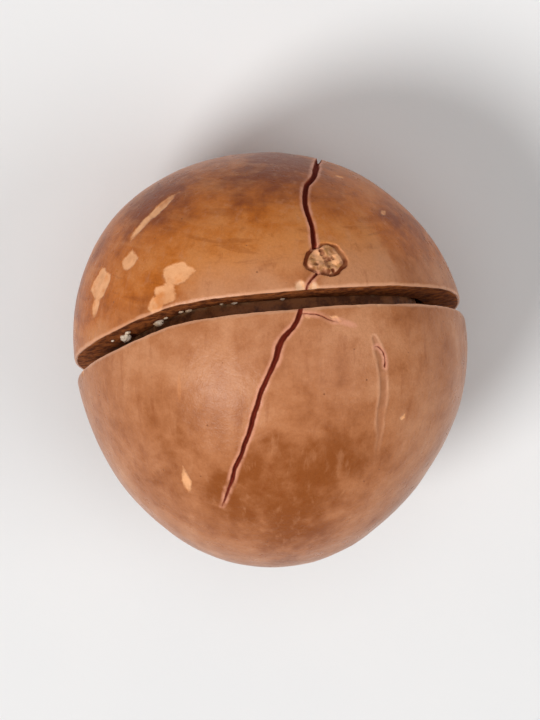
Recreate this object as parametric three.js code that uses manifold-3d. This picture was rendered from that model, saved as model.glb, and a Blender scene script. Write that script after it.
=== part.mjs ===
// A roasted macadamia nut in its shell, sawn part of the way round so that it can be opened by hand.
// Millimetres, +Z up. The nut rests on a small flat spot at the origin.
//
// The nut is shaped in its own axes, about its centre: X to the right, Y towards the blunt end and
// Z out of the face that carries the stalk scar. Then it is leaned over and set down.

import * as THREE from 'three';
import { mergeVertices } from 'three/addons/utils/BufferGeometryUtils.js';
import Module from 'manifold-3d';

const wasm = await Module();
wasm.setup();

// The shell's outside: a ball, drawn out along Y and pinched towards its narrow end.
const NUT_RADIUS = 12.5;
const LENGTHENING = 0.033;
const PINCH = 0.0875;
// Broad swells and flats: which way they lie, how far they stand out, and how wide they spread.
const SWELLS = [
  { towards: [-0.62, 0.74, 0.25], rise: 0.34, spread: 0.16 },
  { towards: [0.8, 0.6, 0.05], rise: -0.42, spread: 0.12 },
  { towards: [0.7, -0.7, 0.1], rise: -0.15, spread: 0.1 },
  { towards: [-0.35, 0.1, -0.93], rise: 0.12, spread: 0.08 },
  { towards: [0.55, -0.45, -0.7], rise: 0.14, spread: 0.06 },
];
const OUTSIDE_FINENESS = 13;
// How a place seen from the face is found on the outside: rounds, and the least depth, squared.
const SEARCH_ROUNDS = 12;
const LEAST_DEPTH_SQUARED = 0.5;

// The shell's wall, and the room that the dried kernel leaves inside it.
const WALL = 2.6;
const KERNEL_GAP = 0.45;
const INSIDE_FINENESS = 8;

// The saw cut, in a plane of its own: X to the right, Y out of the face, Z towards the narrow end.
const KERF_WIDTH = 1.15;
const KERF_OFFSET = -1.2;
const KERF_FACING = new THREE.Vector3(0.16, -0.972, 0.175).normalize();
const KERF_BRIDGE = THREE.MathUtils.degToRad(110);
const KERF_INNER_RADIUS = 8.4;
const KERF_OUTER_RADIUS = 15;
const KERF_SEGMENTS = 56;
// Where the blade wandered as the nut rolled against it: at which angle, how far, and how wide.
const KERF_WANDERS = [
  { angle: 114, shift: -0.5, width: 22 },
  { angle: 48, shift: 0.15, width: 25 },
];

// Cracks, each from its open end to its tip. Points are seen from the face: across, up.
const CRACK_DEPTH = 0.9;
const CRACK_LIFT = 0.4;
const CRACK_STEP = 0.6;
const CRACK_TAPER = 0.985;
const BLUNT_END_CRACK = {
  width: 0.34,
  face: [[2.6, 6.95], [2.4, 8.3], [2.05, 9.6], [2.1, 10.7], [2.65, 11.6]],
  back: [[2.9, 12.1], [2.6, 11.3], [2.9, 10.0], [2.4, 8.4]],
};
const NECK_CRACK = {
  width: 0.26,
  face: [[2.75, 5.25], [2.35, 4.75], [2.2, 4.4], [2.0, 3.6]],
};
const NARROW_END_CRACK = {
  width: 0.32,
  face: [
    [2.0, 3.8], [1.55, 2.5], [0.65, 1.2], [0.1, -0.3],
    [-0.6, -2.0], [-1.1, -3.7], [-1.7, -5.3], [-3.1, -9.0],
  ],
};

// The stalk scar: a button inside an irregular ring.
const SCAR_AT = [3.28, 6.12];
const SCAR_HALF_WIDTH = 1.34;
const SCAR_HALF_HEIGHT = 1.15;
const SCAR_GROOVE = 0.24;
const SCAR_SINK = 0.26;
const SCAR_RISE = 0.1;
const SCAR_SLOPE = 0.18;
const SCAR_EDGE = 0.1;
const SCAR_REACH = 1;
const SCAR_CORNERS = [1.0, 0.9, 1.04, 0.88, 1.0, 0.93, 1.08, 0.86, 1.02, 0.92];
const SCAR_PIT_RADIUS = 0.17;
const SCAR_PITS = [[-0.05, 0.36], [0.2, -0.02], [-0.12, -0.38], [0.45, 0.4], [-0.5, 0.05]];

// Two chips knocked off the cut's edge below the scar.
const CHIP_SIZE = 0.7;
const CHIP_TURN = 0.2;
const CHIPS_AT = [[1.72, 4.32], [2.72, 4.3]];

// How the nut lies: its face leans back towards +Y, and a flat spot carries it.
const LEAN = THREE.MathUtils.degToRad(12);
const CENTRE = new THREE.Vector3(0.1, -1.05, 12.32);
const FLOOR_BLOCK = 40;

const shellMaterial = new THREE.MeshStandardMaterial({ color: 0xa56a42, roughness: 0.45 });
const kernelMaterial = new THREE.MeshStandardMaterial({ color: 0xdccba2, roughness: 0.6 });

function smoothRadius(direction) {
  const y = direction.y;
  const long = (3 * y * y - 1) / 2;
  const narrow = y * (1 - y * y);
  return NUT_RADIUS * (1 + LENGTHENING * long + PINCH * narrow);
}

function outsideRadius(direction) {
  let radius = smoothRadius(direction);
  for (const { towards, rise, spread } of SWELLS) {
    const peak = new THREE.Vector3(...towards).normalize();
    radius += rise * Math.exp((direction.dot(peak) - 1) / spread);
  }
  return radius;
}

// The point of the outside that is seen from the face at these places across and up.
function outsidePoint([across, up], side = 1) {
  const point = new THREE.Vector3(across, up, 0);
  const flat = across * across + up * up;
  let depth = Math.sqrt(Math.max(NUT_RADIUS ** 2 - flat, LEAST_DEPTH_SQUARED));
  for (let round = 0; round < SEARCH_ROUNDS; round += 1) {
    point.z = side * depth;
    const radius = outsideRadius(point.clone().normalize());
    depth = Math.sqrt(Math.max(radius * radius - flat, LEAST_DEPTH_SQUARED));
  }
  return point;
}

function closedGeometry(positions, indices) {
  const geometry = new THREE.BufferGeometry();
  geometry.setAttribute('position', new THREE.Float32BufferAttribute(positions, 3));
  geometry.setIndex(indices);
  return geometry;
}

function bareGeometry(geometry) {
  geometry.deleteAttribute('normal');
  geometry.deleteAttribute('uv');
  return mergeVertices(geometry);
}

function solidFrom(geometry) {
  const bare = bareGeometry(geometry);
  const vertProperties = new Float32Array(bare.attributes.position.array);
  const triVerts = new Uint32Array(bare.index.array);
  return new wasm.Manifold(new wasm.Mesh({ numProp: 3, vertProperties, triVerts }));
}

function geometryFrom(solid) {
  const mesh = solid.getMesh();
  return closedGeometry(Array.from(mesh.vertProperties), Array.from(mesh.triVerts));
}

function ballGeometry(fineness, radiusAt) {
  const geometry = bareGeometry(new THREE.IcosahedronGeometry(1, fineness));
  const position = geometry.attributes.position;
  const direction = new THREE.Vector3();
  for (let i = 0; i < position.count; i += 1) {
    direction.fromBufferAttribute(position, i).normalize();
    const radius = radiusAt(direction);
    position.setXYZ(i, direction.x * radius, direction.y * radius, direction.z * radius);
  }
  return geometry;
}

function kerfWander(angle) {
  const degrees = THREE.MathUtils.radToDeg(angle);
  let shift = 0;
  for (const wander of KERF_WANDERS) {
    const away = (degrees - wander.angle) / wander.width;
    shift += wander.shift * Math.exp(-away * away);
  }
  return shift;
}

// A thin slab round most of the nut, left out where the shell stays whole.
function kerfGeometry() {
  const start = -Math.PI / 2 + KERF_BRIDGE / 2;
  const end = (3 * Math.PI) / 2 - KERF_BRIDGE / 2;
  const outline = new THREE.Shape();
  outline.absarc(0, 0, KERF_OUTER_RADIUS, start, end, false);
  outline.absarc(0, 0, KERF_INNER_RADIUS, end, start, true);
  const geometry = new THREE.ExtrudeGeometry(outline, {
    depth: KERF_WIDTH,
    bevelEnabled: false,
    curveSegments: KERF_SEGMENTS,
  });
  const position = geometry.attributes.position;
  for (let i = 0; i < position.count; i += 1) {
    const turn = Math.atan2(position.getY(i), position.getX(i));
    const angle = turn < -Math.PI / 2 ? turn + 2 * Math.PI : turn;
    position.setZ(i, position.getZ(i) - KERF_WIDTH / 2 + KERF_OFFSET + kerfWander(angle));
  }
  const outOfFace = new THREE.Vector3(0, 0, 1);
  const right = new THREE.Vector3().crossVectors(outOfFace, KERF_FACING).normalize();
  const out = new THREE.Vector3().crossVectors(KERF_FACING, right);
  return geometry.applyMatrix4(new THREE.Matrix4().makeBasis(right, out, KERF_FACING));
}

// A wedge that follows the crack along the surface and closes towards its tip.
function crackGeometry({ width, face, back = [] }) {
  const seen = face.map((place) => outsidePoint(place));
  const hidden = back.map((place) => outsidePoint(place, -1));
  const path = new THREE.CatmullRomCurve3([...seen, ...hidden], false, 'centripetal');
  const steps = Math.max(3, Math.round(path.getLength() / CRACK_STEP));
  const positions = [];
  const indices = [];
  for (let i = 0; i <= steps; i += 1) {
    const along = i / steps;
    const centre = path.getPointAt(along);
    const out = centre.clone().normalize();
    centre.setLength(outsideRadius(out));
    const side = path.getTangentAt(along).cross(out).normalize();
    const opening = Math.sqrt(1 - CRACK_TAPER * along ** 3);
    const top = centre.clone().addScaledVector(out, CRACK_LIFT);
    const half = (width * opening * (CRACK_DEPTH + CRACK_LIFT)) / (2 * CRACK_DEPTH);
    const left = top.clone().addScaledVector(side, -half);
    const right = top.clone().addScaledVector(side, half);
    const bottom = centre.clone().addScaledVector(out, -CRACK_DEPTH * opening);
    positions.push(...left, ...right, ...bottom);
    if (i > 0) {
      const now = 3 * i;
      const before = now - 3;
      for (let edge = 0; edge < 3; edge += 1) {
        const next = (edge + 1) % 3;
        indices.push(before + edge, before + next, now + edge);
        indices.push(before + next, now + next, now + edge);
      }
    }
  }
  const last = 3 * steps;
  indices.push(0, 2, 1, last, last + 1, last + 2);
  return closedGeometry(positions, indices);
}

function placeOn(geometry, place) {
  const point = outsidePoint(place);
  const outOfFace = new THREE.Vector3(0, 0, 1);
  const turn = new THREE.Quaternion().setFromUnitVectors(outOfFace, point.clone().normalize());
  return geometry.applyQuaternion(turn).translate(point.x, point.y, point.z);
}

function scarOutline(inset) {
  const points = SCAR_CORNERS.map((reach, i) => {
    const angle = (2 * Math.PI * i) / SCAR_CORNERS.length;
    const across = (SCAR_HALF_WIDTH - inset) * reach * Math.cos(angle);
    const up = (SCAR_HALF_HEIGHT - inset) * reach * Math.sin(angle);
    return new THREE.Vector2(across, up);
  });
  return new THREE.Shape(points);
}

function scarPocket() {
  const pocket = new THREE.ExtrudeGeometry(scarOutline(0), { depth: SCAR_REACH, bevelEnabled: false });
  return solidFrom(placeOn(pocket.translate(0, 0, -SCAR_SINK), SCAR_AT));
}

function scarButton() {
  const button = new THREE.ExtrudeGeometry(scarOutline(SCAR_GROOVE + SCAR_SLOPE), {
    depth: SCAR_REACH,
    bevelThickness: SCAR_EDGE,
    bevelSize: SCAR_SLOPE,
    bevelSegments: 2,
  });
  button.translate(0, 0, SCAR_RISE - SCAR_REACH - SCAR_EDGE);
  let solid = solidFrom(placeOn(button, SCAR_AT));
  for (const [across, up] of SCAR_PITS) {
    const pit = new THREE.SphereGeometry(SCAR_PIT_RADIUS, 8, 6).translate(across, up, SCAR_RISE);
    solid = solid.subtract(solidFrom(placeOn(pit, SCAR_AT)));
  }
  return solid;
}

function chip(place) {
  const block = new THREE.BoxGeometry(CHIP_SIZE, CHIP_SIZE, CHIP_SIZE);
  return solidFrom(placeOn(block.rotateX(Math.PI / 4).rotateZ(CHIP_TURN), place));
}

// Turns a solid from the nut's own axes to the way the nut lies.
function setDown(solid) {
  const geometry = geometryFrom(solid).rotateX(-LEAN).translate(CENTRE.x, CENTRE.y, CENTRE.z);
  return solidFrom(geometry);
}

function makeShell() {
  const outside = solidFrom(ballGeometry(OUTSIDE_FINENESS, outsideRadius));
  const hollowRadius = (direction) => smoothRadius(direction) - WALL;
  const inside = solidFrom(ballGeometry(INSIDE_FINENESS, hollowRadius));
  let shell = outside.subtract(scarPocket()).add(scarButton()).subtract(inside);
  shell = shell.subtract(solidFrom(kerfGeometry()));
  for (const crack of [BLUNT_END_CRACK, NECK_CRACK, NARROW_END_CRACK]) {
    shell = shell.subtract(solidFrom(crackGeometry(crack)));
  }
  for (const place of CHIPS_AT) {
    shell = shell.subtract(chip(place));
  }
  const floor = new THREE.BoxGeometry(FLOOR_BLOCK, FLOOR_BLOCK, FLOOR_BLOCK);
  return setDown(shell).subtract(solidFrom(floor.translate(0, 0, -FLOOR_BLOCK / 2)));
}

function makeKernel() {
  const kernelRadius = (direction) => smoothRadius(direction) - WALL - KERNEL_GAP;
  return setDown(solidFrom(ballGeometry(INSIDE_FINENESS, kernelRadius)));
}

function makeMesh(name, solid, material) {
  const geometry = geometryFrom(solid);
  geometry.computeVertexNormals();
  const mesh = new THREE.Mesh(geometry, material);
  mesh.name = name;
  return mesh;
}

const nut = new THREE.Group();
nut.add(makeMesh('shell', makeShell(), shellMaterial));
nut.add(makeMesh('kernel', makeKernel(), kernelMaterial));

export default nut;
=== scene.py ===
# A roasted, sawn macadamia nut in its shell, dressed over its solids.
# Shapes are worked out in millimetres in the nut's own axes: X to the right, Y towards the blunt
# end and Z out of the face with the stalk scar. They go into the frame, in metres, at the end.

import math

import bmesh
import bpy
import numpy as np
from mathutils import Matrix, Vector


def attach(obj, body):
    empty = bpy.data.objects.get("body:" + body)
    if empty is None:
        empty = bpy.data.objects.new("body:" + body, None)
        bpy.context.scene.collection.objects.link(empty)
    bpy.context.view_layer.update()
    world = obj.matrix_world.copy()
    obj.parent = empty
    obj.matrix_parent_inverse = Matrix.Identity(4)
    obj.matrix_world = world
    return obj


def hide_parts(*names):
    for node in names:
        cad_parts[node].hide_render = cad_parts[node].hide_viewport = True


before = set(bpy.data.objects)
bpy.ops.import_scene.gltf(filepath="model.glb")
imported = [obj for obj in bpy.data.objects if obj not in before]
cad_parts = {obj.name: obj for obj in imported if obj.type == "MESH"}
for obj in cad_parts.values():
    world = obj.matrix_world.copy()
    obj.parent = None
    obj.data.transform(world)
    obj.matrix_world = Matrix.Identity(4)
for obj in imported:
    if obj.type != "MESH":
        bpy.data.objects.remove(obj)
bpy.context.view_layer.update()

MM = 0.001

# The shell's outside: a ball, drawn out along Y and pinched towards its narrow end.
NUT_RADIUS = 12.5
LENGTHENING = 0.033
PINCH = 0.0875
# Broad swells and flats: which way they lie, how far they stand out, and how wide they spread.
SWELLS = [
    ((-0.62, 0.74, 0.25), 0.34, 0.16),
    ((0.8, 0.6, 0.05), -0.42, 0.12),
    ((0.7, -0.7, 0.1), -0.15, 0.1),
    ((-0.35, 0.1, -0.93), 0.12, 0.08),
    ((0.55, -0.45, -0.7), 0.14, 0.06),
]
WALL = 2.6
KERNEL_GAP = 0.45
# How far the skin's own relief is kept below that outside, and its humps: noise, size, height.
SKIN_INSET = 0.045
SKIN_HUMPS = [("broad", 3.4, 0.05), ("broad", 1.3, 0.018), ("fine", 0.5, 0.006)]

# The saw cut, in a plane of its own: X to the right, Y out of the face, Z towards the narrow end.
KERF_WIDTH = 1.15
KERF_OFFSET = -1.2
KERF_FACING = (0.16, -0.972, 0.175)
KERF_BRIDGE = math.radians(110)
KERF_INNER_RADIUS = 8.4
KERF_OUTER_RADIUS = 15.0
KERF_STEPS = 520
# About how far the cut's edge lies from the middle of its plane.
KERF_RIM_RADIUS = 12.3
# Where the blade wandered: at which angle, how far, and how wide.
KERF_WANDERS = [(114, -0.5, 22), (48, 0.15, 25)]
KERF_RAGGED = 0.035
KERF_RAGGED_SIZES = (1.4, 0.35)
LIP_WIDTH = 0.16
LIP_DROP = 0.1
LIP_ROUNDNESS = 1.5
# Small nicks all along the cut's edge.
NICKS = 16
NICK_SIZES = (0.12, 0.26)
NICK_DEPTH_SHARE = 0.4
NICK_WOBBLES = [(0.45, 0.2), (0.2, 0.05)]
NICK_ROUNDNESS = 0.7

# How detail wanders from its drawn line: the size of the bends and how far they reach.
CRACK_WOBBLES = [(1.1, 0.1), (0.25, 0.022)]
FOLD_WOBBLES = [(1.1, 0.1), (0.3, 0.03)]
SCAR_WOBBLES = [(0.7, 0.2), (0.3, 0.07)]
PATCH_WOBBLES = [(0.8, 0.2), (0.25, 0.05)]
PIT_WOBBLES = [(0.2, 0.04)]

# Raised rims: how high, how far outside the edge, how wide.
CRACK_RIM = (0.05, 0.12, 0.1)
FOLD_RIM = (0.015, 0.14, 0.1)
SCAR_RIM = (0.02, 0.14, 0.16)

# Cracks, each from its open end to its tip. Points are seen from the face: across, up.
CRACK_SEEN_DEPTH = 0.34
CRACK_SIDE_WIDTH = 0.14
CRACK_SIDE_SHAPE = 0.9
CRACK_TAPER = 0.985
TAPER_POWER = 4
LINE_SPACING = 0.05
BLUNT_END_CRACK = {
    "width": 0.36,
    "face": [(2.6, 6.95), (2.4, 8.3), (2.05, 9.6), (2.1, 10.7), (2.65, 11.6)],
    "back": [(2.9, 12.1), (2.6, 11.3), (2.9, 10.0), (2.4, 8.4)],
}
NECK_CRACK = {
    "width": 0.2,
    "face": [(2.75, 5.25), (2.35, 4.75), (2.2, 4.4), (2.0, 3.6)],
    "back": [],
}
NARROW_END_CRACK = {
    "width": 0.34,
    "face": [
        (2.0, 3.8), (1.55, 2.5), (0.65, 1.2), (0.1, -0.3),
        (-0.6, -2.0), (-1.1, -3.7), (-1.7, -5.3), (-3.1, -9.0),
    ],
    "back": [],
}
HAIR_CRACK = {
    "width": 0.1,
    "face": [(1.9, 2.85), (2.8, 2.72), (3.6, 2.4), (4.3, 2.38), (5.0, 2.1)],
    "back": [],
}
HOOK_CRACK = {
    "width": 0.13,
    "face": [(6.95, -0.45), (6.97, 0.05), (6.8, 0.5), (6.5, 0.8), (6.25, 0.75)],
    "back": [],
}
CRACKS = [BLUNT_END_CRACK, NECK_CRACK, NARROW_END_CRACK, HAIR_CRACK, HOOK_CRACK]
# Shallow folds beside the long crack: a broad one, and a narrow one that runs on from it.
BROAD_FOLD = {
    "width": 0.48,
    "start": -0.93,
    "face": [
        (6.2, 1.3), (6.5, 0.6), (6.7, -0.1), (6.78, -1.2), (6.78, -2.3), (6.62, -3.4), (6.5, -4.5),
    ],
    "back": [],
}
NARROW_FOLD = {
    "width": 0.1,
    "start": -0.9,
    "face": [(6.62, -3.2), (6.5, -4.4), (6.46, -5.4), (6.36, -6.3), (6.1, -7.2)],
    "back": [],
}
# Where the folds are gone, and where they are at their clearest.
FOLD_FADES = (-7.0, -2.5)
FOLD_DEPTH = 0.038
FOLD_SIDES = (-0.1, 0.16)

# The stalk scar: a button inside an irregular ring.
SCAR_AT = (3.28, 6.12)
SCAR_HALF_WIDTH = 1.36
SCAR_HALF_HEIGHT = 1.2
SCAR_GROOVE = 0.25
SCAR_SINK = 0.15
SCAR_CORNERS = [1.0, 0.9, 1.04, 0.88, 1.0, 0.93, 1.08, 0.86, 1.02, 0.92]
SCAR_BUTTON_RISE = 0.04
SCAR_BUTTON_LUMPS = [("fine", 0.4, 0.14), ("broad", 0.2, 0.05)]
SCAR_PIT_DEPTH = 0.12
SCAR_PIT_RADIUS = 0.19
SCAR_PITS = [
    (-0.22, 0.62), (-0.16, 0.4), (-0.02, 0.18), (0.04, -0.06), (0.0, -0.3), (0.1, -0.46),
    (0.26, 0.04), (0.5, 0.12), (-0.62, -0.3), (-0.5, -0.6), (-0.22, -0.74), (0.1, -0.78),
    (0.4, -0.74),
]

# Two chips knocked off the cut's edge below the scar.
CHIP_SIZE = 0.43
CHIP_DEPTH = 0.22
CHIPS_AT = [(1.72, 4.42), (2.62, 4.4)]

# Tan patches where the husk clung: across, up, half width, half height, turn in degrees.
FACE_PATCHES = [
    (-8.74, 6.1, 0.62, 0.72, 10),
    (-5.72, 5.22, 0.88, 0.84, -12),
    (-5.02, 5.4, 0.44, 0.34, 0),
    (-10.6, 4.65, 1.15, 0.9, 20),
    (-10.85, 3.35, 0.5, 0.75, 8),
    (-6.5, 3.95, 0.78, 0.84, -24),
    (-7.05, 3.3, 0.62, 0.6, 15),
    # These two long pale streaks are a painted reflection of a lamp, drawn as patches.
    (-7.95, 8.28, 0.34, 1.25, -20),
    (-6.75, 9.42, 0.42, 1.25, -20),
    (-5.25, -7.4, 0.34, 0.95, -15),
    (4.2, 11.3, 0.3, 0.24, 0),
    (6.9, 9.05, 0.34, 0.22, 30),
    (7.95, -3.5, 0.27, 0.24, 0),
    (3.86, 6.05, 0.36, 0.52, 0),
    (2.9, 6.3, 0.3, 0.34, 20),
    (3.95, 2.45, 0.34, 0.2, -25),
    (2.1, 2.7, 0.24, 0.12, 0),
]
PATCH_ROUNDNESS = 1.35
PATCH_RISE = 0.02
PATCH_EDGE = (-0.04, 0.08)
# Patches on the sides that the face's places don't reach.
HIDDEN_PATCHES = 22
HIDDEN_PATCH_SIZES = (0.25, 1.0)
HIDDEN_PATCH_STRETCHES = (0.7, 1.8)
HIDDEN_BELOW = 0.1
# Zones where the skin is lighter or darker: across, up, how much lighter, how wide. Some are the
# skin's own blotches; the others are painted light, marked below.
FACE_TONES_AND_PAINTED_LIGHT = [
    (2.8, -6.4, -1.35, 0.05),
    (0.1, -9.4, -0.8, 0.04),
    (-6.5, -2.8, -0.35, 0.02),
    # Painted shade on the upper left and along the top edge.
    (-8.9, 8.3, -1.1, 0.03),
    (1.0, 12.2, -1.6, 0.05),
    (-4.2, -4.6, -0.4, 0.02),
    (0.5, -11.8, -1.2, 0.03),
    # Painted shade on the upper right.
    (8.8, 8.0, -0.8, 0.04),
    # Painted highlight on the left, below the cut.
    (-4.2, 0.4, 0.7, 0.06),
    (4.6, 5.3, 0.6, 0.03),
    (2.4, 5.05, -1.6, 0.003),
    # Painted sheen above the cut.
    (-1.7, 5.6, 0.7, 0.03),
    (7.8, -1.2, 0.6, 0.04),
    # Painted reflection of the pale surroundings along the lower rims.
    (-9.6, -5.4, 0.3, 0.03),
    (9.4, -5.6, 0.3, 0.03),
    (11.2, -2.8, 0.2, 0.02),
    # A painted highlight left of the crack, then painted light on the side that faces the upper
    # right.
    (1.3, 7.9, 1.4, 0.01),
    (6.0, 5.9, 1.6, 0.018),
    (-8.3, 0.6, 0.6, 0.01),
    (5.4, 1.2, 0.7, 0.008),
    (1.7, -0.7, 0.6, 0.006),
    (-3.1, -7.6, -0.9, 0.008),
    (8.4, -7.6, 0.5, 0.015),
]

# Where the skin turns warm: how far above the cut it starts and ends, and sooner at the left.
# Below it the skin is pinker, partly its own colour and partly painted sheen.
WARM_ABOVE_CUT = (0.6, 6.8)
WARM_CLEAR_OF_CUT = (0.4, 1.8)
WARM_LEFT_FROM = 3
WARM_LEFT_REACH = 6
WARM_LEFT_SHARE = 0.3

# The kernel's seam and dimples.
KERNEL_SEAM_FACING = (0.9, 0.1, 0.42)
KERNEL_SEAM_DEPTH = 0.14
KERNEL_SEAM_WIDTH = 0.03
KERNEL_DIMPLES = [("fine", 0.9, 0.05), ("broad", 2.4, 0.04)]
# Points of the kernel times this lie about where the shell's outside does.
KERNEL_TO_OUTSIDE = 1.3

# Crumbs that stick to the cut's wall on the blunt side: angle, depth below the outside, size.
CRUMBS = [
    (143.5, 1.6, 0.86),
    (139.5, 1.3, 0.4),
    (128.6, 2.1, 0.66),
    (125, 2.0, 0.28),
    (116, 2.2, 0.36),
    (118.5, 2.0, 0.24),
    (99.5, 2.35, 0.3),
    (104, 2.3, 0.2),
    (149, 1.3, 0.22),
    (83, 2.3, 0.22),
]
# How long a crumb is round the nut, out of it and across the cut, for a size of one.
CRUMB_SHAPE = (1.15, 0.7, 0.5)
CRUMB_STRETCHES = (0.85, 1.15)
CRUMB_OFF_WALL = 0.6
CRUMB_LUMPS = [("fine", 0.7, 0.3), ("broad", 0.3, 0.15)]

# How the nut lies: its face leans back towards +Y, and a flat spot carries it.
LEAN = math.radians(12)
CENTRE = (0.1, -1.05, 12.32)

# The meshes: how often each ball is divided, how near a detail the skin is divided again, and
# from what angle in degrees an edge stays sharp.
SKIN_DIVISIONS = 7
KERNEL_DIVISIONS = 6
CAVITY_DIVISIONS = 5
CRUMB_DIVISIONS = 4
FINE_WITHIN = 0.45
FINEST_WITHIN = 0.26
SHELL_CREASE = 38
SOFT_CREASE = 60

# The studio: a floor, lights (name, place, size, power) that point at the nut, and a camera that
# sees the nut as the photograph does, from above and a little from its blunt end.
FLOOR_HALF_WIDTH = 1.5
LIGHTS = [
    ("key", (-0.68, -0.36, 1.2), 0.5, 13.2),
    ("fill", (0.9, -0.1, 1.1), 0.9, 5.4),
    ("top", (0.0, 0.3, 1.5), 1.0, 4.2),
]
LIGHT_AIM = (0, 0, 0.012)
STUDIO_GREY = 0.92
STUDIO_STRENGTH = 0.24
FRAME_WIDTH = 33.6
FRAME_CENTRE = (0.0, -1.05, 12.3)
CAMERA_DISTANCE = 380.0
CAMERA_CLIP_START = 0.01
SENSOR_WIDTH = 36.0


def srgb(red, green, blue):
    """A colour as screens name it, from 0 to 255, for a shader."""
    parts = []
    for value in (red / 255, green / 255, blue / 255):
        parts.append(value / 12.92 if value <= 0.04045 else ((value + 0.055) / 1.055) ** 2.4)
    return (*parts, 1.0)


# The nut's colours
SKIN_WARM_DARK = srgb(134, 61, 15)
SKIN_WARM = srgb(192, 106, 36)
SKIN_WARM_LIGHT = srgb(208, 132, 72)
# The pinker browns below the cut: partly the skin's own colour, partly painted sheen.
SKIN_PINK_DARK = srgb(142, 76, 32)
SKIN_PINK = srgb(182, 116, 74)
SKIN_PINK_LIGHT = srgb(202, 139, 98)
PATCH_TAN = srgb(233, 151, 90)
PATCH_PALE = srgb(246, 180, 128)
LIP_PALE = srgb(226, 168, 132)
# The cracks' pink sides: partly their own colour, partly a painted highlight on the raised edges.
CRACK_LIP_AND_HIGHLIGHT = srgb(220, 151, 121)
CHIP_PALE = srgb(232, 184, 146)
CRACK_BROWN = srgb(120, 40, 22)
FOLD_BROWN = srgb(150, 88, 48)
SCAR_OLIVE = srgb(178, 126, 76)
SCAR_PINK = srgb(230, 168, 126)
SCAR_BROWN = srgb(114, 52, 22)
# The cut's wall: a darker brown, partly painted shade of the narrow slot, and a lighter wood
# brown.
WALL_DARK_AND_SHADE = srgb(94, 44, 20)
WALL_WOOD = srgb(172, 98, 48)
CAVITY_BROWN = srgb(128, 80, 44)
PORE_DARK = srgb(100, 48, 20)
KERNEL_CREAM = srgb(214, 186, 138)
# A toasted brown for the kernel's mottling and its painted shade under the cut, and a dark brown
# that is painted shade only.
KERNEL_TOAST_AND_SHADE = srgb(172, 104, 58)
KERNEL_PAINTED_SHADE = srgb(98, 50, 26)
CRUMB_TAN = srgb(204, 170, 134)
CRUMB_PALE = srgb(236, 220, 198)
FLOOR_PALE = srgb(226, 226, 226)
FLOOR_WARM = srgb(230, 229, 228)


def unit(vectors):
    vectors = np.asarray(vectors, dtype=float)
    return vectors / np.linalg.norm(vectors, axis=-1, keepdims=True)


def smoothstep(values, start, end):
    share = np.clip((values - start) / (end - start), 0, 1)
    return share * share * (3 - 2 * share)


class Noise:
    """Smooth noise in space, from -1 to 1, the same on each run."""

    CELLS = 32

    def __init__(self, seed):
        self.grid = np.random.default_rng(seed).uniform(-1, 1, (self.CELLS,) * 3)

    def at(self, points, size):
        places = points / size + 100.0
        corner = np.floor(places).astype(int)
        share = places - corner
        share = share * share * (3 - 2 * share)
        total = np.zeros(len(points))
        for step in np.ndindex(2, 2, 2):
            weight = np.prod(np.where(step, share, 1 - share), axis=1)
            x, y, z = ((corner + step) % self.CELLS).T
            total += weight * self.grid[x, y, z]
        return total


BROAD = Noise(11)
FINE = Noise(23)
BEND = [Noise(31), Noise(37), Noise(41)]


def humps(points, layers, scale=1):
    """The height of noise at the points, summed over layers of noise, size and height."""
    total = np.zeros(len(points))
    for name, size, height in layers:
        total += height * {"broad": BROAD, "fine": FINE}[name].at(points, size * scale)
    return total


def wobbled(points, wobbles):
    """The points moved a little by noise, which makes an outline measured there irregular."""
    for size, reach in wobbles:
        moves = np.stack([noise.at(points, size) for noise in BEND], axis=1)
        points = points + reach * moves
    return points


def ridge(distances, height, middle, width):
    return height * np.exp(-(((distances - middle) / width) ** 2))


def smooth_radius(directions):
    y = directions[:, 1]
    return NUT_RADIUS * (1 + LENGTHENING * (3 * y * y - 1) / 2 + PINCH * y * (1 - y * y))


def outside_radius(directions):
    radius = smooth_radius(directions)
    for towards, rise, spread in SWELLS:
        radius = radius + rise * np.exp((directions @ unit(towards) - 1) / spread)
    return radius


def outside_point(place, side=1):
    """The point of the outside that is seen from the face at this place across and up."""
    across, up = place
    flat = across * across + up * up
    depth = math.sqrt(max(NUT_RADIUS**2 - flat, 1))
    for _ in range(12):
        direction = unit([[across, up, side * depth]])
        depth = math.sqrt(max(outside_radius(direction)[0] ** 2 - flat, 0.5))
    return np.array([across, up, side * depth])


def kerf_axes():
    facing = unit(KERF_FACING)
    right = unit(np.cross((0, 0, 1), facing))
    return np.array([right, np.cross(facing, right), facing])


KERF_AXES = kerf_axes()
KERF_START = -math.pi / 2 + KERF_BRIDGE / 2
KERF_END = 1.5 * math.pi - KERF_BRIDGE / 2


def kerf_wander(angles):
    shift = np.zeros_like(angles)
    for middle, reach, width in KERF_WANDERS:
        shift += reach * np.exp(-(((np.degrees(angles) - middle) / width) ** 2))
    return shift


def kerf_distance(points):
    """How far points lie from the edge of the saw cut. Inside the cut it is below zero."""
    local = points @ KERF_AXES.T
    angles = (np.arctan2(local[:, 1], local[:, 0]) + math.pi / 2) % (2 * math.pi) - math.pi / 2
    across = np.abs(local[:, 2] - KERF_OFFSET - kerf_wander(angles)) - KERF_WIDTH / 2
    beyond = np.maximum(KERF_START - angles, angles - KERF_END)
    beyond *= np.hypot(local[:, 0], local[:, 1])
    outside = np.hypot(np.clip(across, 0, None), np.clip(beyond, 0, None))
    return np.where((across < 0) & (beyond < 0), across, outside)


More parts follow.
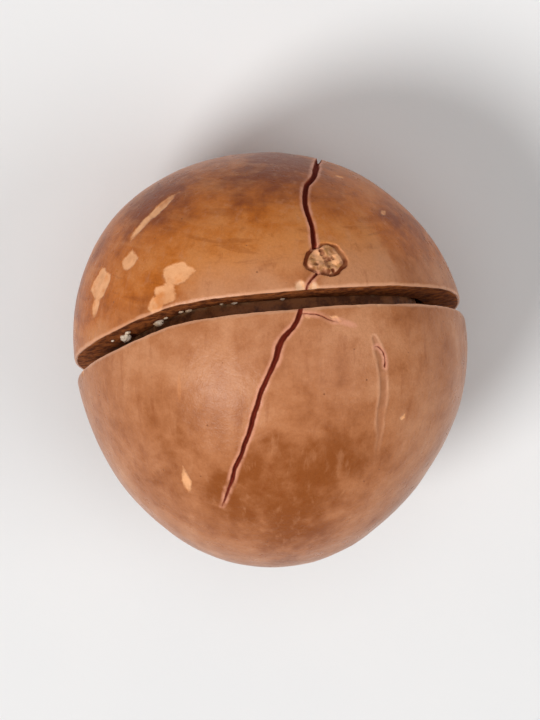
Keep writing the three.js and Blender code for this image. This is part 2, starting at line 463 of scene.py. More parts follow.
def curve_through(points, spacing):
    """A smooth curve through points, as places about this far apart."""
    points = np.array(points)
    padded = np.vstack([2 * points[0] - points[1], points, 2 * points[-1] - points[-2]])
    places = []
    for a, b, c, d in zip(padded, padded[1:], padded[2:], padded[3:]):
        steps = max(2, int(np.linalg.norm(c - b) / spacing))
        t = np.arange(steps)[:, None] / steps
        bend = 2 * a - 5 * b + 4 * c - d
        twist = 3 * b - a - 3 * c + d
        places.append(0.5 * (2 * b + (c - a) * t + bend * t**2 + twist * t**3))
    places.append(points[-1:])
    return np.vstack(places)


def crack_places(crack):
    """Points along the crack on the outside, and half its width at each."""
    knots = [outside_point(place) for place in crack["face"]]
    knots += [outside_point(place, -1) for place in crack["back"]]
    places = curve_through(knots, LINE_SPACING)
    directions = unit(places)
    along = np.linspace(crack.get("start", 0), 1, len(places))
    half_widths = crack["width"] / 2 * np.sqrt(1 - CRACK_TAPER * np.abs(along) ** TAPER_POWER)
    return directions * outside_radius(directions)[:, None], half_widths


def line_distance(points, line, far=2.0):
    """How far points lie from the edges of a crack or fold. Inside it is below zero."""
    places, half_widths = line
    distance = np.full(len(points), far)
    lowest, highest = places.min(axis=0) - far, places.max(axis=0) + far
    near = np.flatnonzero(((points > lowest) & (points < highest)).all(axis=1))
    for chunk in np.array_split(near, max(1, len(near) // 4000)):
        gaps = np.linalg.norm(points[chunk, None] - places[None], axis=2) - half_widths
        distance[chunk] = np.minimum(gaps.min(axis=1), far)
    return distance


CRACK_LINES = [crack_places(crack) for crack in CRACKS]
FOLD_LINES = [crack_places(fold) for fold in (BROAD_FOLD, NARROW_FOLD)]


def crack_distance(points):
    rough = wobbled(points, CRACK_WOBBLES)
    return np.min([line_distance(rough, line) for line in CRACK_LINES], axis=0)


def fold_distance(points):
    rough = wobbled(points, FOLD_WOBBLES)
    return np.min([line_distance(rough, line) for line in FOLD_LINES], axis=0)


def flat_places(points, centre):
    """Where points lie in the plane that touches the outside at centre, and how far off it."""
    out = unit(centre)
    right = unit(np.cross((0, 1, 0), out))
    offsets = points - centre
    return offsets @ right, offsets @ np.cross(out, right), np.linalg.norm(offsets, axis=1)


def scar_distance(points):
    """How far points lie outside the rim of the stalk scar. Inside it is below zero."""
    across, up, away = flat_places(wobbled(points, SCAR_WOBBLES), outside_point(SCAR_AT))
    angles = np.arctan2(up / SCAR_HALF_HEIGHT, across / SCAR_HALF_WIDTH) % (2 * math.pi)
    corners = np.array([*SCAR_CORNERS, SCAR_CORNERS[0]])
    reach = np.interp(angles, np.linspace(0, 2 * math.pi, len(corners)), corners)
    share = np.hypot(across / SCAR_HALF_WIDTH, up / SCAR_HALF_HEIGHT) / reach
    mean_radius = (SCAR_HALF_WIDTH + SCAR_HALF_HEIGHT) / 2
    return np.where(away < 3, (share - 1) * mean_radius, 2.0)


def patch_list():
    """Each patch's centre on the outside, half sizes and turn: those seen, then hidden ones."""
    patches = []
    for across, up, half_width, half_height, turn in FACE_PATCHES:
        patches.append((outside_point((across, up)), half_width, half_height, math.radians(turn)))
    chance = np.random.default_rng(5)
    while len(patches) < len(FACE_PATCHES) + HIDDEN_PATCHES:
        direction = unit(chance.normal(size=3))
        size = chance.uniform(*HIDDEN_PATCH_SIZES) ** 1.5
        stretch = chance.uniform(*HIDDEN_PATCH_STRETCHES)
        turn = chance.uniform(0, math.pi)
        if direction[2] < HIDDEN_BELOW:
            centre = direction * outside_radius(direction[None])[0]
            patches.append((centre, size, size * stretch, turn))
    return patches


PATCHES = patch_list()


def patch_distance(points):
    """How far points lie outside the nearest tan patch. Inside it is below zero."""
    rough = wobbled(points, PATCH_WOBBLES)
    nearest = np.full(len(points), 1.0)
    for centre, half_width, half_height, turn in PATCHES:
        across, up, away = flat_places(rough, centre)
        along = across * math.cos(turn) + up * math.sin(turn)
        beside = up * math.cos(turn) - across * math.sin(turn)
        share = np.abs(along / half_width) ** PATCH_ROUNDNESS
        share = (share + np.abs(beside / half_height) ** PATCH_ROUNDNESS) ** (1 / PATCH_ROUNDNESS)
        reach = (share - 1) * min(half_width, half_height)
        nearest = np.minimum(nearest, np.where(away < 4, reach, 1.0))
    return nearest


def wall_place(angle, side, depth):
    """A place on the wall of the saw cut, in the cut's own axes, this deep below the outside."""
    shift = KERF_OFFSET + kerf_wander(np.array([angle]))[0] + side * KERF_WIDTH / 2
    rim_place = (KERF_RIM_RADIUS * math.cos(angle), KERF_RIM_RADIUS * math.sin(angle), shift)
    length = outside_radius(unit([rim_place]) @ KERF_AXES)[0] - depth
    reach = math.sqrt(length**2 - shift**2)
    return np.array([reach * math.cos(angle), reach * math.sin(angle), shift])


def nick_list():
    """Chips on the edge of the cut: the two big ones, and small ones all along."""
    nicks = [(outside_point(place), CHIP_SIZE, CHIP_DEPTH) for place in CHIPS_AT]
    chance = np.random.default_rng(8)
    for _ in range(NICKS):
        place = wall_place(chance.uniform(KERF_START, KERF_END), chance.choice([-1, 1]), 0)
        size = chance.uniform(*NICK_SIZES)
        nicks.append((place @ KERF_AXES, size, size * NICK_DEPTH_SHARE))
    return nicks


NICK_LIST = nick_list()


def chip_depth(points):
    """How much of the cut's edge is chipped away."""
    rough = wobbled(points, NICK_WOBBLES)
    depth = np.zeros(len(points))
    for centre, size, deepest in NICK_LIST:
        away = np.linalg.norm(rough - centre, axis=1)
        depth = np.maximum(depth, deepest * np.clip(1 - away / size, 0, 1) ** NICK_ROUNDNESS)
    return depth


def scar_pits(points):
    """How deep the pits in the stalk scar are, as a share."""
    across, up, away = flat_places(wobbled(points, PIT_WOBBLES), outside_point(SCAR_AT))
    depth = np.zeros(len(points))
    for pit_across, pit_up in SCAR_PITS:
        reach = np.hypot(across - pit_across, up - pit_up) / SCAR_PIT_RADIUS
        depth = np.maximum(depth, np.clip(1 - reach**2, 0, 1) * (away < 2))
    return depth


def carving(points):
    """How far the skin lies below the smooth outside, and the fields that its colours need."""
    crack = crack_distance(points)
    fold = fold_distance(points)
    rim = kerf_distance(points)
    scar = scar_distance(points)
    patch = patch_distance(points)
    chip = chip_depth(points)
    pits = scar_pits(points)

    sunk = CRACK_SEEN_DEPTH * np.clip(-crack / CRACK_SIDE_WIDTH, 0, 1) ** CRACK_SIDE_SHAPE
    sunk -= ridge(crack, *CRACK_RIM)
    sunk = np.maximum(sunk, LIP_DROP * np.clip(1 - rim / LIP_WIDTH, 0, 1) ** LIP_ROUNDNESS)
    sunk = np.maximum(sunk, chip)
    fold_fade = smoothstep(points[:, 1], *FOLD_FADES)
    sunk += FOLD_DEPTH * fold_fade * smoothstep(-fold, *FOLD_SIDES)
    sunk -= fold_fade * ridge(fold, *FOLD_RIM)
    sunk += PATCH_RISE * smoothstep(-patch, *PATCH_EDGE)
    groove = smoothstep(-scar, -0.04, 0.06)
    groove *= smoothstep(scar, -SCAR_GROOVE - 0.12, -SCAR_GROOVE * 0.6)
    sunk += SCAR_SINK * groove
    sunk += SCAR_PIT_DEPTH * pits
    button = smoothstep(-scar, SCAR_GROOVE * 0.6, SCAR_GROOVE + 0.3)
    sunk -= button * (SCAR_BUTTON_RISE + humps(points, SCAR_BUTTON_LUMPS))
    sunk -= ridge(scar, *SCAR_RIM)
    sunk -= humps(points, SKIN_HUMPS)
    sunk += SKIN_INSET
    fields = {
        "crack": crack,
        "fold": fold,
        "fold_fade": fold_fade,
        "rim": rim,
        "scar": scar,
        "patch": patch,
        "chip": chip,
        "pits_and_groove": np.maximum(pits, groove),
    }
    return sunk, fields


def face_tones_and_painted_light(directions):
    """How much lighter or darker than the rest the skin is, in soft zones: its own blotches, and
    painted shade, highlights and reflection.
    """
    tones = np.zeros(len(directions))
    for across, up, lighter, spread in FACE_TONES_AND_PAINTED_LIGHT:
        towards = unit(outside_point((across, up)))
        tones += lighter * np.exp((directions @ towards - 1) / spread)
    return tones


def unit_ball(divisions):
    """The corners and triangles of an even ball."""
    ball = bpy.data.meshes.new("ball")
    shape = bmesh.new()
    bmesh.ops.create_icosphere(shape, subdivisions=divisions, radius=1)
    shape.to_mesh(ball)
    shape.free()
    corners = np.empty(len(ball.vertices) * 3)
    ball.vertices.foreach_get("co", corners)
    triangles = np.empty(len(ball.loops), dtype=int)
    ball.loops.foreach_get("vertex_index", triangles)
    bpy.data.meshes.remove(ball)
    return unit(corners.reshape(-1, 3)), triangles.reshape(-1, 3)


def divided(corners, triangles, wanted):
    """Halves the edges whose middles are wanted, and divides the triangles beside them."""
    sides = np.sort(triangles[:, [[0, 1], [1, 2], [2, 0]]].reshape(-1, 2), axis=1)
    edges, which = np.unique(sides, axis=0, return_inverse=True)
    middles = unit(corners[edges].mean(axis=1))
    marked = wanted(middles)
    added = np.full(len(edges), -1)
    added[marked] = len(corners) + np.arange(marked.sum())
    cuts = added[which.reshape(-1, 3)]
    count = (cuts >= 0).sum(axis=1)
    made = [triangles[count == 0]]
    for turn in range(3):
        a, b, c = np.roll(triangles, -turn, axis=1).T
        ab, bc, ca = np.roll(cuts, -turn, axis=1).T
        one = (count == 1) & (ab >= 0)
        made.append(np.stack([a, ab, c], axis=1)[one])
        made.append(np.stack([ab, b, c], axis=1)[one])
        two = (count == 2) & (ab >= 0) & (bc >= 0)
        made.append(np.stack([ab, b, bc], axis=1)[two])
        made.append(np.stack([a, ab, bc], axis=1)[two])
        made.append(np.stack([a, bc, c], axis=1)[two])
    a, b, c = triangles[count == 3].T
    ab, bc, ca = cuts[count == 3].T
    for corner_set in ([a, ab, ca], [ab, b, bc], [ca, bc, c], [ab, bc, ca]):
        made.append(np.stack(corner_set, axis=1))
    return np.vstack([corners, middles[marked]]), np.vstack(made)


def near_detail(directions, within):
    """Which directions meet a crack, a fold, the scar or the cut's edge within a distance."""
    points = directions * outside_radius(directions)[:, None]
    near = np.abs(kerf_distance(points)) < within
    for line in CRACK_LINES + FOLD_LINES:
        near |= line_distance(points, line) < within
    near |= chip_depth(points) > 0
    return near | (scar_distance(points) < within)


def near_crack(directions, within):
    """Which directions meet a crack, a fold or the scar within a distance."""
    points = directions * outside_radius(directions)[:, None]
    near = scar_distance(points) < within / 2
    for line in CRACK_LINES + FOLD_LINES:
        near |= line_distance(points, line) < within
    return near


def new_mesh_object(name, corners, polygons):
    mesh = bpy.data.meshes.new(name)
    mesh.from_pydata(corners, [], polygons)
    piece = bpy.data.objects.new(name, mesh)
    bpy.context.scene.collection.objects.link(piece)
    return piece


def split_into_triangles(mesh):
    shape = bmesh.new()
    shape.from_mesh(mesh)
    bmesh.ops.triangulate(shape, faces=shape.faces)
    shape.to_mesh(mesh)
    shape.free()


def cut_away(piece, cutter):
    """Takes the cutter's solid out of the piece's, and removes the cutter."""
    change = piece.modifiers.new("cut", "BOOLEAN")
    change.operation = "DIFFERENCE"
    change.solver = "MANIFOLD"
    change.object = cutter
    view = bpy.context.evaluated_depsgraph_get()
    mesh = bpy.data.meshes.new_from_object(piece.evaluated_get(view))
    split_into_triangles(mesh)
    piece.modifiers.clear()
    old = piece.data
    piece.data = mesh
    bpy.data.meshes.remove(old)
    bpy.data.objects.remove(cutter)


def kerf_cutter():
    """The space that the blade took away, with slightly ragged sides."""
    angles = np.linspace(KERF_START, KERF_END, KERF_STEPS)
    middle = KERF_OFFSET + kerf_wander(angles)
    rim_places = KERF_RIM_RADIUS * np.stack([np.cos(angles), np.sin(angles), 0 * angles], axis=1)
    sides = []
    for side, noise in ((-1, BROAD), (1, FINE)):
        broad_size, fine_size = KERF_RAGGED_SIZES
        ragged = noise.at(rim_places, broad_size) + 0.5 * noise.at(rim_places, fine_size)
        sides.append(middle + side * (KERF_WIDTH / 2 + KERF_RAGGED * ragged))
    rings = []
    for radius, height in ((KERF_INNER_RADIUS, sides[0]), (KERF_OUTER_RADIUS, sides[0]),
                           (KERF_OUTER_RADIUS, sides[1]), (KERF_INNER_RADIUS, sides[1])):
        rings.append(np.stack([radius * np.cos(angles), radius * np.sin(angles), height], axis=1))
    corners = np.stack(rings, axis=1).reshape(-1, 3) @ KERF_AXES
    faces = [(0, 1, 2, 3), tuple(4 * (KERF_STEPS - 1) + i for i in (3, 2, 1, 0))]
    for step in range(KERF_STEPS - 1):
        for i in range(4):
            j = (i + 1) % 4
            faces.append((4 * step + i, 4 * step + 4 + i, 4 * step + 4 + j, 4 * step + j))
    return new_mesh_object("kerf_cutter", corners, faces)


def corner_places(mesh):
    places = np.empty(len(mesh.vertices) * 3)
    mesh.vertices.foreach_get("co", places)
    return places.reshape(-1, 3)


def set_down(piece):
    """Turns a piece from the nut's own axes to the way the nut lies, in metres."""
    places = corner_places(piece.data)
    lean = np.array(Matrix.Rotation(-LEAN, 3, "X"))
    places = places @ lean.T + CENTRE
    places[:, 2] = np.clip(places[:, 2], 0, None)
    piece.data.vertices.foreach_set("co", (places * MM).ravel())
    piece.data.update()


def store(mesh, name, values):
    field = mesh.attributes.new(name, "FLOAT", "POINT")
    field.data.foreach_set("value", np.asarray(values, dtype=np.float32))


def finish_surface(piece, crease_degrees):
    piece.data.polygons.foreach_set("use_smooth", [True] * len(piece.data.polygons))
    piece.data.set_sharp_from_angle(angle=math.radians(crease_degrees))


def make_shell():
    corners, triangles = unit_ball(SKIN_DIVISIONS)
    corners, triangles = divided(corners, triangles, lambda d: near_detail(d, FINE_WITHIN))
    corners, triangles = divided(corners, triangles, lambda d: near_crack(d, FINEST_WITHIN))
    smooth = corners * outside_radius(corners)[:, None]
    sunk, _ = carving(smooth)
    carved = corners * (outside_radius(corners) - sunk)[:, None]
    shell = new_mesh_object("shell_skin", carved, triangles)

    inner, inner_triangles = unit_ball(CAVITY_DIVISIONS)
    cavity_radius = smooth_radius(inner) - WALL
    cavity = new_mesh_object("cavity_cutter", inner * cavity_radius[:, None], inner_triangles)
    cut_away(shell, cavity)
    cut_away(shell, kerf_cutter())

    places = corner_places(shell.data)
    directions = unit(places)
    full_radius = outside_radius(directions)
    smooth = directions * full_radius[:, None]
    sunk, fields = carving(smooth)
    for name, values in fields.items():
        store(shell.data, name, values)
    store(shell.data, "depth", full_radius - sunk - np.linalg.norm(places, axis=1))
    # The tone holds the skin's blotches and its painted shade, highlights and reflection.
    store(shell.data, "tone", face_tones_and_painted_light(directions))
    above_cut = -(smooth @ KERF_AXES.T)[:, 2]
    leftness = WARM_LEFT_SHARE * np.clip(-smooth[:, 0] - WARM_LEFT_FROM, 0, WARM_LEFT_REACH)
    blunt = smoothstep(above_cut + leftness, *WARM_ABOVE_CUT)
    store(shell.data, "blunt", blunt * smoothstep(above_cut, *WARM_CLEAR_OF_CUT))
    set_down(shell)
    finish_surface(shell, SHELL_CREASE)
    return shell


def make_kernel():
    corners, triangles = unit_ball(KERNEL_DIVISIONS)
    radius = smooth_radius(corners) - WALL - KERNEL_GAP
    points = corners * radius[:, None]
    seam = corners @ unit(KERNEL_SEAM_FACING)
    radius = radius - ridge(seam, KERNEL_SEAM_DEPTH, 0, KERNEL_SEAM_WIDTH)
    for dimple in KERNEL_DIMPLES:
        radius = radius - humps(points, [dimple]).clip(0)
    kernel = new_mesh_object("kernel_flesh", corners * radius[:, None], triangles)
    # Where the kernel lies under the saw cut, for its painted shade.
    store(kernel.data, "slot", kerf_distance(points * KERNEL_TO_OUTSIDE))
    set_down(kernel)
    finish_surface(kernel, SOFT_CREASE)
    return kernel


class Graph:
    """Adds nodes to one material and joins them."""

    def __init__(self, name):
        self.material = bpy.data.materials.new(name)
        self.material.use_nodes = True
        self.tree = self.material.node_tree
        self.tree.nodes.clear()

    def add(self, kind, inputs=None, **settings):
        node = self.tree.nodes.new("ShaderNode" + kind)
        for setting, value in settings.items():
            setattr(node, setting, value)
        for socket, value in (inputs or {}).items():
            self.join(value, node.inputs[socket])
        return node

    def join(self, value, socket):
        if isinstance(value, bpy.types.NodeSocket):
            self.tree.links.new(value, socket)
        else:
            socket.default_value = value

    def field(self, name):
        return self.add("Attribute", attribute_name=name).outputs["Fac"]

    def places(self, stretch=(1, 1, 1)):
        """The surface's own coordinates in millimetres, stretched."""
        own = self.add("TexCoord").outputs["Object"]
        scale = tuple(part / MM for part in stretch)
        return self.add("VectorMath", {0: own, 1: scale}, operation="MULTIPLY").outputs[0]

    def maths(self, operation, *values):
        node = self.add("Math", operation=operation)
        for value, socket in zip(values, node.inputs):
            self.join(value, socket)
        return node.outputs[0]

    def ramp(self, value, start, end, low=0.0, high=1.0):
        """Goes smoothly from low to high as the value goes from start to end."""
        inputs = {"Value": value, "From Min": start, "From Max": end}
        inputs |= {"To Min": low, "To Max": high}
        return self.add("MapRange", inputs, interpolation_type="SMOOTHSTEP").outputs["Result"]

    def noise(self, places, scale, detail=3.0, roughness=0.55, bend=0.0):
        inputs = {"Vector": places, "Scale": scale, "Detail": detail}
        inputs |= {"Roughness": roughness, "Distortion": bend}
        return self.add("TexNoise", inputs).outputs["Fac"]

    def cells(self, places, scale, output="Distance"):
        return self.add("TexVoronoi", {"Vector": places, "Scale": scale}).outputs[output]

    def blend(self, share, first, second, kind="MIX"):
        node = self.add("Mix", data_type="RGBA", blend_type=kind)
        self.join(share, node.inputs[0])
        self.join(first, node.inputs[6])
        self.join(second, node.inputs[7])
        return node.outputs[2]

    def finish(self, colour, roughness, height, relief, **constants):
        bump = self.add("Bump", {"Height": height, "Distance": relief, "Strength": 1.0})
        shader = self.add("BsdfPrincipled", {"Base Color": colour, "Roughness": roughness})
        self.join(bump.outputs["Normal"], shader.inputs["Normal"])
        for socket, value in constants.items():
            shader.inputs[socket.replace("_", " ")].default_value = value
        output = self.add("OutputMaterial")
        self.join(shader.outputs["BSDF"], output.inputs["Surface"])
        return self.material


def shell_material():
    g = Graph("roasted_shell")
    places = g.places()
    along = g.places((1.0, 0.16, 1.0))

    # Broad mottling between a dark and a light brown, with the zones' painted shade, highlights
    # and reflection; warmer at the blunt end, and pinker elsewhere, where the pink is partly
    # painted sheen.
    mottle = g.noise(places, 0.22, 4.0, 0.6, 0.4)
    cloud = g.noise(places, 0.75, 5.0, 0.62)
    tone = g.maths("ADD", g.maths("MULTIPLY", mottle, 0.6), g.maths("MULTIPLY", cloud, 0.4))
    tone = g.maths("MULTIPLY_ADD", g.field("tone"), 0.13, tone)
    dark_share = g.ramp(tone, 0.52, 0.28, 0.0, 0.95)
    light_share = g.ramp(tone, 0.46, 0.68)
    warm = g.blend(dark_share, g.blend(light_share, SKIN_WARM, SKIN_WARM_LIGHT), SKIN_WARM_DARK)
    pink_and_sheen = g.blend(dark_share, g.blend(light_share, SKIN_PINK, SKIN_PINK_LIGHT), SKIN_PINK_DARK)
    edge_noise = g.maths("MULTIPLY_ADD", g.noise(places, 0.4), 0.6, -0.3)
    blunt = g.ramp(g.maths("ADD", g.field("blunt"), edge_noise), 0.1, 0.9)
    bands = g.noise(g.places((0.25, 1.3, 0.25)), 0.9, 4.0, 0.6, 0.8)
    warm = g.blend(g.ramp(bands, 0.5, 0.68, 0.0, 0.4), warm, SKIN_WARM_LIGHT)
    warm = g.blend(g.ramp(bands, 0.46, 0.34, 0.0, 0.3), warm, SKIN_WARM_DARK)
    skin = g.blend(blunt, pink_and_sheen, warm)

    # Fibres that run from end to end, fine grain and pores.
    fibre = g.noise(along, 1.6, 4.0, 0.6)
    skin = g.blend(g.ramp(fibre, 0.55, 0.75, 0.0, 0.3), skin, SKIN_WARM_DARK)
    skin = g.blend(g.ramp(fibre, 0.46, 0.25, 0.0, 0.38), skin, SKIN_PINK_LIGHT)
    grain = g.noise(places, 7.0, 3.0, 0.7)
    skin = g.blend(g.ramp(grain, 0.35, 0.7, 0.0, 0.12), skin, PORE_DARK)
    pore_shape = g.cells(places, 1.5)
    pore_chance = g.cells(places, 1.5, "Color")
    pore = g.maths("MULTIPLY", g.ramp(pore_shape, 0.11, 0.05), g.ramp(pore_chance, 0.7, 0.74))
    skin = g.blend(g.maths("MULTIPLY", pore, 0.45), skin, PORE_DARK)
    fleck_shape = g.cells(along, 0.8)
    fleck_chance = g.cells(along, 0.8, "Color")
    fleck = g.maths("MULTIPLY", g.ramp(fleck_shape, 0.16, 0.06), g.ramp(fleck_chance, 0.8, 0.84))
    skin = g.blend(g.maths("MULTIPLY", fleck, 0.3), skin, PATCH_TAN)

    # Tan patches, paler and thicker in places, with soft broken edges.
    ragged = g.maths("MULTIPLY_ADD", g.noise(places, 2.2, 4.0, 0.7), 0.36, -0.18)
    patch = g.ramp(g.maths("ADD", g.field("patch"), ragged), 0.1, -0.09)
    patch_cloud = g.noise(places, 1.0, 3.0, 0.6)
    patch_tone = g.blend(g.ramp(patch_cloud, 0.3, 0.52), PATCH_TAN, PATCH_PALE)
    patch_cover = g.ramp(g.noise(places, 0.85, 3.0, 0.6), 0.3, 0.6, 0.62, 0.95)
    patch_share = g.maths("MULTIPLY", patch, patch_cover)
    skin = g.blend(patch_share, skin, patch_tone)

    # The pale lip of the saw cut, and the folds with their pale sides.
    lip_edge = g.maths("MULTIPLY_ADD", g.noise(places, 1.2, 2.0), 0.24, -0.12)
    lip = g.ramp(g.maths("ADD", g.field("rim"), lip_edge), 0.24, 0.04)
    skin = g.blend(g.maths("MULTIPLY", lip, 0.62), skin, LIP_PALE)
    fold = g.field("fold")
    worn = g.ramp(g.noise(places, 0.8), 0.34, 0.6, 0.35, 1.0)
    worn = g.maths("MULTIPLY", worn, g.field("fold_fade"))
    fold_side = g.maths("MULTIPLY", g.ramp(fold, 0.3, 0.1, 0.0, 0.5), worn)
    skin = g.blend(fold_side, skin, LIP_PALE)
    skin = g.blend(g.maths("MULTIPLY", g.ramp(fold, 0.1, -0.06, 0.0, 0.7), worn), skin, FOLD_BROWN)

    # The stalk scar: tan, olive and lumpy, in a broken brown ring.
    scar = g.field("scar")
    lumps = g.noise(places, 2.0, 4.0, 0.7)
    scar_tone = g.blend(g.ramp(lumps, 0.38, 0.6), SCAR_OLIVE, SCAR_PINK)
    scar_stain = g.ramp(g.noise(places, 2.2, 2.0), 0.5, 0.68, 0.0, 0.55)
    scar_tone = g.blend(scar_stain, scar_tone, SCAR_BROWN)
    skin = g.blend(g.ramp(scar, -0.08, -0.3, 0.0, 0.8), skin, scar_tone)
    pale = g.maths("MULTIPLY", g.ramp(scar, -0.2, -0.4), patch_share)
    skin = g.blend(g.maths("MULTIPLY", pale, g.ramp(lumps, 0.36, 0.5)), skin, patch_tone)
    uneven = g.ramp(g.noise(places, 0.7, 2.0), 0.36, 0.56, 0.3, 1.0)
    # Darker brown in the scar's pits and groove.
    pits_and_groove = g.ramp(g.field("pits_and_groove"), 0.15, 0.75)
    skin = g.blend(g.maths("MULTIPLY", pits_and_groove, uneven), skin, SCAR_BROWN)

    # Cracks, dark inside with soft pink sides that are partly a painted highlight on their raised
    # edges, and the chips on the cut's edge.
    crack = g.field("crack")
    broken = g.ramp(g.noise(places, 1.3, 3.0), 0.32, 0.58, 0.3, 0.85)
    crack_lip_and_highlight = g.maths("MULTIPLY", g.ramp(crack, 0.26, 0.03), broken)
    skin = g.blend(crack_lip_and_highlight, skin, CRACK_LIP_AND_HIGHLIGHT)
    inside = g.ramp(crack, 0.03, -0.05)
    skin = g.blend(inside, skin, CRACK_BROWN)
    chip_tone = g.blend(g.ramp(g.noise(places, 3.0, 3.0), 0.35, 0.6), PATCH_PALE, CHIP_PALE)
    chip = g.maths("MULTIPLY", g.ramp(g.field("chip"), 0.0, 0.12), g.ramp(crack, -0.02, 0.1))
    chip = g.maths("MULTIPLY", chip, g.ramp(g.field("depth"), 0.2, 0.1))
    skin = g.blend(chip, skin, chip_tone)

    # The sawn wall below the skin, with grain between a lighter wood brown and a darker brown that
    # is partly painted shade of the narrow slot, and the hollow's lining.
    depth = g.field("depth")
    wood = g.blend(g.ramp(g.noise(places, 1.8, 4.0, 0.7), 0.35, 0.65), WALL_DARK_AND_SHADE, WALL_WOOD)
    wood = g.blend(g.ramp(depth, WALL - 0.4, WALL - 0.05), wood, CAVITY_BROWN)
    sawn = g.ramp(depth, 0.06, 0.12)
    colour = g.blend(sawn, skin, wood)

    gloss = g.maths("MULTIPLY_ADD", g.noise(places, 1.1, 4.0, 0.65), 0.2, 0.2)
    gloss = g.maths("ADD", gloss, g.maths("MULTIPLY", patch, 0.12))
    rough = g.maths("MAXIMUM", g.maths("MAXIMUM", inside, sawn), g.maths("MULTIPLY", pits_and_groove, 0.8))
    gloss = g.ramp(rough, 0.0, 1.0, gloss, 0.8)

    peel = g.maths("MULTIPLY", g.noise(places, 2.2, 3.0, 0.6), 0.7)
    height = g.maths("ADD", peel, g.maths("MULTIPLY", grain, 0.3))
    height = g.maths("SUBTRACT", height, g.maths("MULTIPLY", pore, 0.5))
    height = g.maths("SUBTRACT", height, g.maths("MULTIPLY", patch, 0.4))
    return g.finish(colour, gloss, height, 0.05 * MM, IOR=1.45, Specular_IOR_Level=0.17)


def kernel_material():
    g = Graph("kernel_flesh")
    places = g.places()
    tone = g.noise(places, 0.9, 5.0, 0.65)
    cream = g.blend(g.ramp(tone, 0.4, 0.65, 0.0, 0.5), KERNEL_CREAM, KERNEL_TOAST_AND_SHADE)
    # Under the saw cut the kernel is painted darker and mottled: painted shade of the narrow slot.
    slot_noise = g.maths("MULTIPLY_ADD", g.noise(places, 1.2), 1.2, -0.6)
    slot = g.maths("ADD", g.field("slot"), slot_noise)
    shade_mottle = g.ramp(g.noise(places, 0.8, 4.0, 0.65), 0.42, 0.62, 0.0, 0.85)
    colour = g.blend(g.ramp(slot, 1.6, 0.5), cream, g.blend(shade_mottle, KERNEL_TOAST_AND_SHADE, KERNEL_PAINTED_SHADE))
    gloss = g.maths("MULTIPLY_ADD", g.noise(places, 2.0), 0.2, 0.45)
    return g.finish(colour, gloss, g.noise(places, 3.0, 4.0), 0.06 * MM, IOR=1.46)


def crumb_material():
    g = Graph("saw_crumbs")
    places = g.places()
    colour = g.blend(g.ramp(g.noise(places, 1.5, 3.0), 0.3, 0.7), CRUMB_TAN, CRUMB_PALE)
    colour = g.blend(g.ramp(g.noise(places, 6.0, 2.0), 0.5, 0.75, 0.0, 0.3), colour, SCAR_BROWN)
    gloss = g.ramp(g.noise(places, 3.0), 0.3, 0.7, 0.4, 0.7)
    return g.finish(colour, gloss, g.noise(places, 5.0), 0.05 * MM)


def floor_material():
    g = Graph("pale_floor")
    places = g.places()
    colour = g.blend(g.ramp(g.noise(places, 0.05), 0.3, 0.7, 0.0, 0.5), FLOOR_PALE, FLOOR_WARM)
    return g.finish(colour, 0.75, g.noise(places, 0.8), 0.02 * MM)


def make_crumbs():
    """Small pale crumbs that stick to one side of the saw cut."""
    chance = np.random.default_rng(3)
    corners, triangles = unit_ball(CRUMB_DIVISIONS)
    all_corners, all_triangles = [], []
    for degrees, depth, size in CRUMBS:
        angle = math.radians(degrees)
        half_lengths = np.array(CRUMB_SHAPE) * chance.uniform(*CRUMB_STRETCHES, 3) * size / 2
        middle = wall_place(angle, -1, depth)
        middle[2] += CRUMB_OFF_WALL * half_lengths[2]
        lumps = 1 + humps(corners * size + middle, CRUMB_LUMPS, size)
        along = np.array([math.sin(angle), -math.cos(angle), 0])
        outwards = np.array([math.cos(angle), math.sin(angle), 0])
        turn = np.array([along, outwards, (0, 0, 1)])
        crumb = (corners * lumps[:, None] * half_lengths) @ turn + middle
        all_triangles.append(triangles + len(corners) * len(all_corners))
        all_corners.append(crumb @ KERF_AXES)
    crumbs = new_mesh_object("saw_crumbs", np.vstack(all_corners), np.vstack(all_triangles))
    set_down(crumbs)
    finish_surface(crumbs, SOFT_CREASE)
    return crumbs


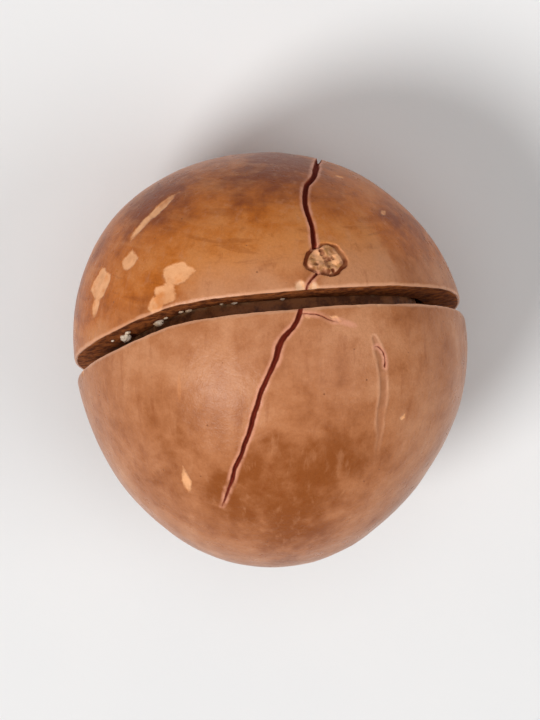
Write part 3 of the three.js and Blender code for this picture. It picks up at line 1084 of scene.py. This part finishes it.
def make_floor():
    half = FLOOR_HALF_WIDTH
    corners = [(-half, -half, 0), (half, -half, 0), (half, half, 0), (-half, half, 0)]
    floor = new_mesh_object("floor", corners, [(0, 1, 2, 3)])
    floor.data.materials.append(floor_material())


def make_camera():
    lens = bpy.data.cameras.new("camera")
    lens.sensor_fit = "HORIZONTAL"
    lens.sensor_width = SENSOR_WIDTH
    lens.lens = SENSOR_WIDTH * CAMERA_DISTANCE / FRAME_WIDTH
    lens.clip_start = CAMERA_CLIP_START
    camera = bpy.data.objects.new("camera", lens)
    bpy.context.scene.collection.objects.link(camera)
    back = Vector((0, math.sin(LEAN), math.cos(LEAN)))
    up = Vector((0, math.cos(LEAN), -math.sin(LEAN)))
    right = up.cross(back)
    turn = Matrix((right, up, back)).transposed().to_4x4()
    place = (Vector(FRAME_CENTRE) + back * CAMERA_DISTANCE) * MM
    camera.matrix_world = Matrix.Translation(place) @ turn
    bpy.context.scene.camera = camera


def area_light(name, place, size, power):
    light = bpy.data.lights.new(name, "AREA")
    light.shape = "DISK"
    light.size = size
    light.energy = power
    lamp = bpy.data.objects.new(name, light)
    bpy.context.scene.collection.objects.link(lamp)
    lamp.location = place
    aim = Vector(LIGHT_AIM) - Vector(place)
    lamp.rotation_euler = aim.to_track_quat("-Z", "Y").to_euler()


def make_lights():
    for name, place, size, power in LIGHTS:
        area_light(name, place, size, power)
    world = bpy.data.worlds.new("studio")
    world.use_nodes = True
    background = world.node_tree.nodes["Background"]
    background.inputs["Color"].default_value = (STUDIO_GREY, STUDIO_GREY, STUDIO_GREY, 1)
    background.inputs["Strength"].default_value = STUDIO_STRENGTH
    bpy.context.scene.world = world
    bpy.context.scene.view_settings.view_transform = "Standard"


def dress(piece, material, slot, *nodes):
    piece.data.materials.clear()
    piece.data.materials.append(material)
    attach(piece, "root")
    if nodes:
        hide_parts(*nodes)


dress(make_shell(), shell_material(), "shell", "shell")
dress(make_kernel(), kernel_material(), "kernel", "kernel")
dress(make_crumbs(), crumb_material(), "kernel")
make_floor()
make_camera()
make_lights()
